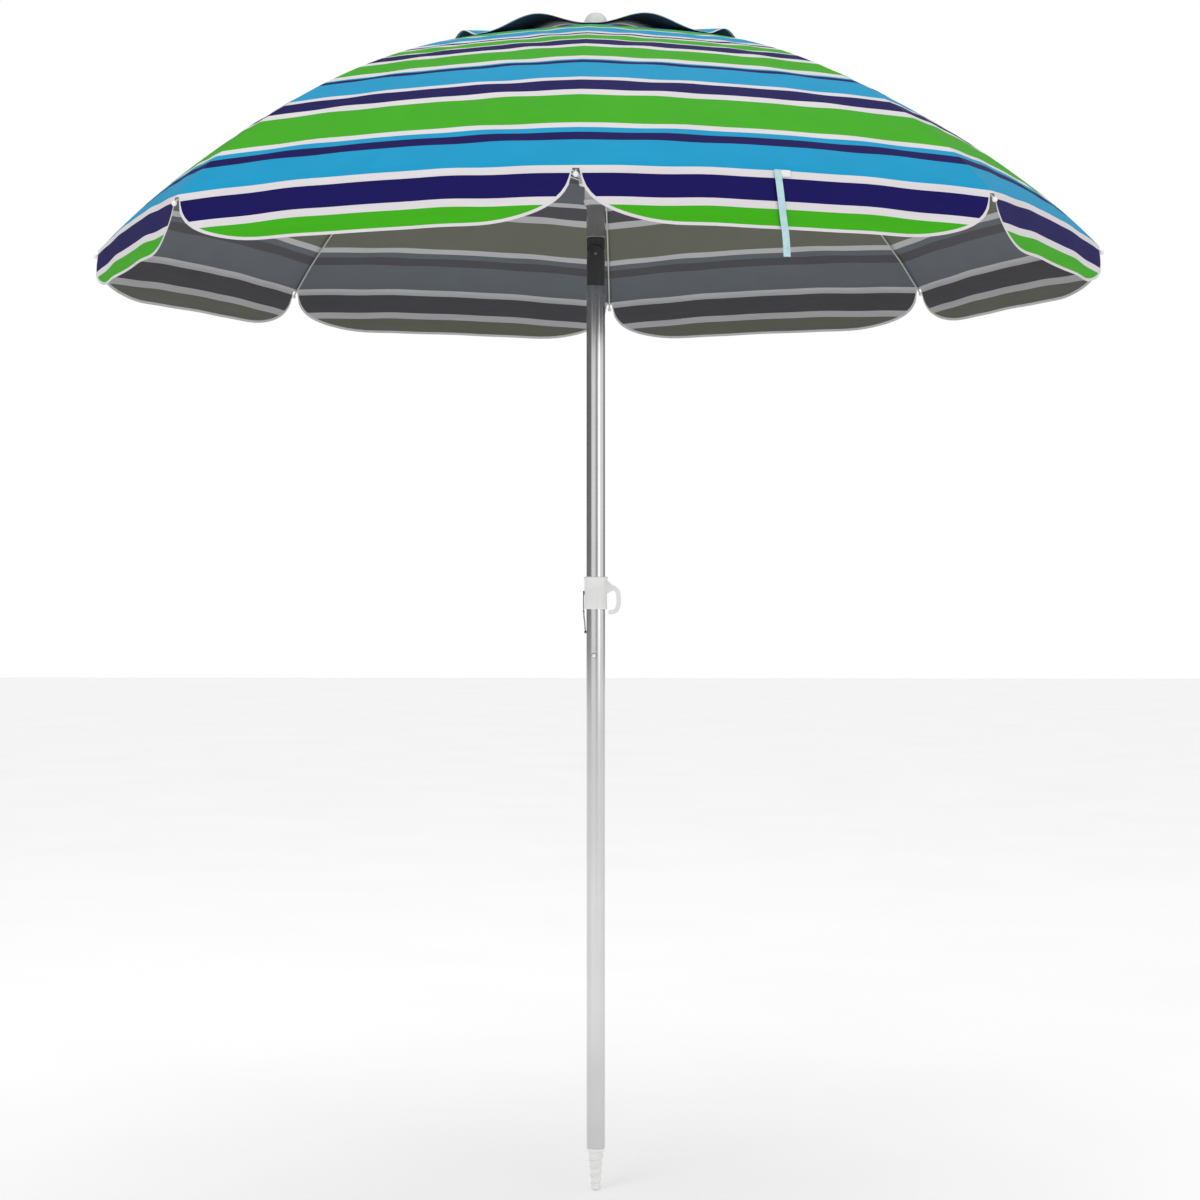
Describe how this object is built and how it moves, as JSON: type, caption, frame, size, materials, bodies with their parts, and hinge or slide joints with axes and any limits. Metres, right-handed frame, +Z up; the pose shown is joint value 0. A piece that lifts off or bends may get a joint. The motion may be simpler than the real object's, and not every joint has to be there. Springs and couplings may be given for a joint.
{
  "type": "beach umbrella",
  "caption": "Folding beach umbrella with a vented striped canopy, a tilting two-piece pole, a hook collar and a screw-in ground tip.",
  "frame": {"origin": "foot of the ground tip on the pole axis", "axes": "+Z up the pole; +X towards the side that the collar's hook is on, so the viewer in front looks along +Y"},
  "size_m": [1.7442, 1.7442, 2.0303],
  "materials": {
    "tube_aluminium": "drawn tube, light satin polish",
    "steel": "bright wire and small parts",
    "white_plastic": "moulded, slightly glossy",
    "black_plastic": "moulded, satin",
    "grey_plastic": "moulded, satin",
    "striped_cloth": "woven polyester with cyan, navy, green and white stripes and a silver-grey underside",
    "strap_cloth": "woven tape",
    "rib_coat": "thin pale coat on steel wire"
  },
  "bodies": {
    "pole": {"ground_screw": "white_plastic", "lower_tube": "tube_aluminium", "pole_collar": "white_plastic", "pin_chain": "steel", "chain_rivet": "steel"},
    "locking_pin": {"lock_pin": "steel"},
    "upper_pole": {"middle_tube": "tube_aluminium", "snap_spring": "steel", "tilt_base": "black_plastic", "tilt_pivot": "steel"},
    "button": {"snap_button": "steel"},
    "canopy_head": {"tilt_head": "black_plastic", "canopy_tube": "tube_aluminium", "runner_catch": "steel", "crown_hub": "white_plastic", "crown_ring": "steel", "cap_spacer": "white_plastic", "vent_cap": "striped_cloth", "finial": "grey_plastic"},
    "runner": {"runner": "white_plastic"},
    "rib_body_1": {"rib_1": "rib_coat", "rib_tip_1": "white_plastic", "canopy_panel_1": "striped_cloth"},
    "stretcher_body_1": {"stretcher_1": "steel"},
    "rib_body_2": {"rib_2": "rib_coat", "rib_tip_2": "white_plastic", "canopy_panel_2": "striped_cloth"},
    "stretcher_body_2": {"stretcher_2": "steel"},
    "rib_body_3": {"rib_3": "rib_coat", "rib_tip_3": "white_plastic", "canopy_panel_3": "striped_cloth"},
    "stretcher_body_3": {"stretcher_3": "steel"},
    "rib_body_4": {"rib_4": "rib_coat", "rib_tip_4": "white_plastic", "canopy_panel_4": "striped_cloth"},
    "stretcher_body_4": {"stretcher_4": "steel"},
    "rib_body_5": {"rib_5": "rib_coat", "rib_tip_5": "white_plastic", "canopy_panel_5": "striped_cloth"},
    "stretcher_body_5": {"stretcher_5": "steel"},
    "rib_body_6": {"rib_6": "rib_coat", "rib_tip_6": "white_plastic", "canopy_panel_6": "striped_cloth"},
    "stretcher_body_6": {"stretcher_6": "steel"},
    "rib_body_7": {"rib_7": "rib_coat", "rib_tip_7": "white_plastic", "canopy_panel_7": "striped_cloth", "strap": "strap_cloth", "strap_tab": "strap_cloth"},
    "stretcher_body_7": {"stretcher_7": "steel"},
    "rib_body_8": {"rib_8": "rib_coat", "rib_tip_8": "white_plastic", "canopy_panel_8": "striped_cloth"},
    "stretcher_body_8": {"stretcher_8": "steel"}
  },
  "joints": [
    {"name": "pole_lift", "type": "slide", "parent": "pole", "child": "upper_pole", "axis": [0, 0, 1], "range_m": [0, 0.14], "deforming": ["snap_button", "snap_spring"]},
    {"name": "pin_pull", "type": "slide", "parent": "pole", "child": "locking_pin", "axis": [-1, 0, 0], "range_m": [0, 0.014]},
    {"name": "button_press", "type": "slide", "parent": "upper_pole", "child": "button", "axis": [0.1736, 0.9848, 0], "range_m": [0, 0.0045], "stiffness_N_per_m": 800},
    {"name": "tilt", "type": "hinge", "parent": "upper_pole", "child": "canopy_head", "pos_m": [0, 0, 1.613], "axis": [0, 1, 0], "range_deg": [0, 30]},
    {"name": "runner_slide", "type": "slide", "parent": "canopy_head", "child": "runner", "axis": [0, 0, 1], "range_m": [-0.5146, 0], "deforming": ["runner_catch"]},
    {"name": "rib_hinge_1", "type": "hinge", "parent": "canopy_head", "child": "rib_body_1", "pos_m": [0.024, 0, 1.984], "axis": [0, 1, 0], "range_deg": [0, 60.01], "deforming": ["canopy_panel_1"]},
    {"name": "stretcher_hinge_1", "type": "hinge", "parent": "rib_body_1", "child": "stretcher_body_1", "pos_m": [0.4, 0, 1.90302], "axis": [0, 1, 0], "range_deg": [-109.86, 0]},
    {"name": "rib_hinge_2", "type": "hinge", "parent": "canopy_head", "child": "rib_body_2", "pos_m": [0.01697, 0.01697, 1.984], "axis": [-0.7071, 0.7071, 0], "range_deg": [0, 60.01], "deforming": ["canopy_panel_2"]},
    {"name": "stretcher_hinge_2", "type": "hinge", "parent": "rib_body_2", "child": "stretcher_body_2", "pos_m": [0.28284, 0.28284, 1.90302], "axis": [-0.7071, 0.7071, 0], "range_deg": [-109.86, 0]},
    {"name": "rib_hinge_3", "type": "hinge", "parent": "canopy_head", "child": "rib_body_3", "pos_m": [0, 0.024, 1.984], "axis": [-1, 0, 0], "range_deg": [0, 60.01], "deforming": ["canopy_panel_3"]},
    {"name": "stretcher_hinge_3", "type": "hinge", "parent": "rib_body_3", "child": "stretcher_body_3", "pos_m": [0, 0.4, 1.90302], "axis": [-1, 0, 0], "range_deg": [-109.86, 0]},
    {"name": "rib_hinge_4", "type": "hinge", "parent": "canopy_head", "child": "rib_body_4", "pos_m": [-0.01697, 0.01697, 1.984], "axis": [-0.7071, -0.7071, 0], "range_deg": [0, 60.01], "deforming": ["canopy_panel_4"]},
    {"name": "stretcher_hinge_4", "type": "hinge", "parent": "rib_body_4", "child": "stretcher_body_4", "pos_m": [-0.28284, 0.28284, 1.90302], "axis": [-0.7071, -0.7071, 0], "range_deg": [-109.86, 0]},
    {"name": "rib_hinge_5", "type": "hinge", "parent": "canopy_head", "child": "rib_body_5", "pos_m": [-0.024, 0, 1.984], "axis": [0, -1, 0], "range_deg": [0, 60.01], "deforming": ["canopy_panel_5"]},
    {"name": "stretcher_hinge_5", "type": "hinge", "parent": "rib_body_5", "child": "stretcher_body_5", "pos_m": [-0.4, 0, 1.90302], "axis": [0, -1, 0], "range_deg": [-109.86, 0]},
    {"name": "rib_hinge_6", "type": "hinge", "parent": "canopy_head", "child": "rib_body_6", "pos_m": [-0.01697, -0.01697, 1.984], "axis": [0.7071, -0.7071, 0], "range_deg": [0, 60.01], "deforming": ["canopy_panel_6"]},
    {"name": "stretcher_hinge_6", "type": "hinge", "parent": "rib_body_6", "child": "stretcher_body_6", "pos_m": [-0.28284, -0.28284, 1.90302], "axis": [0.7071, -0.7071, 0], "range_deg": [-109.86, 0]},
    {"name": "rib_hinge_7", "type": "hinge", "parent": "canopy_head", "child": "rib_body_7", "pos_m": [0, -0.024, 1.984], "axis": [1, 0, 0], "range_deg": [0, 60.01], "deforming": ["canopy_panel_7", "strap", "strap_tab"]},
    {"name": "stretcher_hinge_7", "type": "hinge", "parent": "rib_body_7", "child": "stretcher_body_7", "pos_m": [0, -0.4, 1.90302], "axis": [1, 0, 0], "range_deg": [-109.86, 0]},
    {"name": "rib_hinge_8", "type": "hinge", "parent": "canopy_head", "child": "rib_body_8", "pos_m": [0.01697, -0.01697, 1.984], "axis": [0.7071, 0.7071, 0], "range_deg": [0, 60.01], "deforming": ["canopy_panel_8"]},
    {"name": "stretcher_hinge_8", "type": "hinge", "parent": "rib_body_8", "child": "stretcher_body_8", "pos_m": [0.28284, -0.28284, 1.90302], "axis": [0.7071, 0.7071, 0], "range_deg": [-109.86, 0]}
  ],
  "couplings": [
    {"joint": "rib_hinge_1", "follows": "runner_slide", "rad_per_m": -2.035},
    {"joint": "stretcher_hinge_1", "follows": "runner_slide", "rad_per_m": 3.7255},
    {"joint": "rib_hinge_2", "follows": "runner_slide", "rad_per_m": -2.035},
    {"joint": "stretcher_hinge_2", "follows": "runner_slide", "rad_per_m": 3.7255},
    {"joint": "rib_hinge_3", "follows": "runner_slide", "rad_per_m": -2.035},
    {"joint": "stretcher_hinge_3", "follows": "runner_slide", "rad_per_m": 3.7255},
    {"joint": "rib_hinge_4", "follows": "runner_slide", "rad_per_m": -2.035},
    {"joint": "stretcher_hinge_4", "follows": "runner_slide", "rad_per_m": 3.7255},
    {"joint": "rib_hinge_5", "follows": "runner_slide", "rad_per_m": -2.035},
    {"joint": "stretcher_hinge_5", "follows": "runner_slide", "rad_per_m": 3.7255},
    {"joint": "rib_hinge_6", "follows": "runner_slide", "rad_per_m": -2.035},
    {"joint": "stretcher_hinge_6", "follows": "runner_slide", "rad_per_m": 3.7255},
    {"joint": "rib_hinge_7", "follows": "runner_slide", "rad_per_m": -2.035},
    {"joint": "stretcher_hinge_7", "follows": "runner_slide", "rad_per_m": 3.7255},
    {"joint": "rib_hinge_8", "follows": "runner_slide", "rad_per_m": -2.035},
    {"joint": "stretcher_hinge_8", "follows": "runner_slide", "rad_per_m": 3.7255}
  ]
}
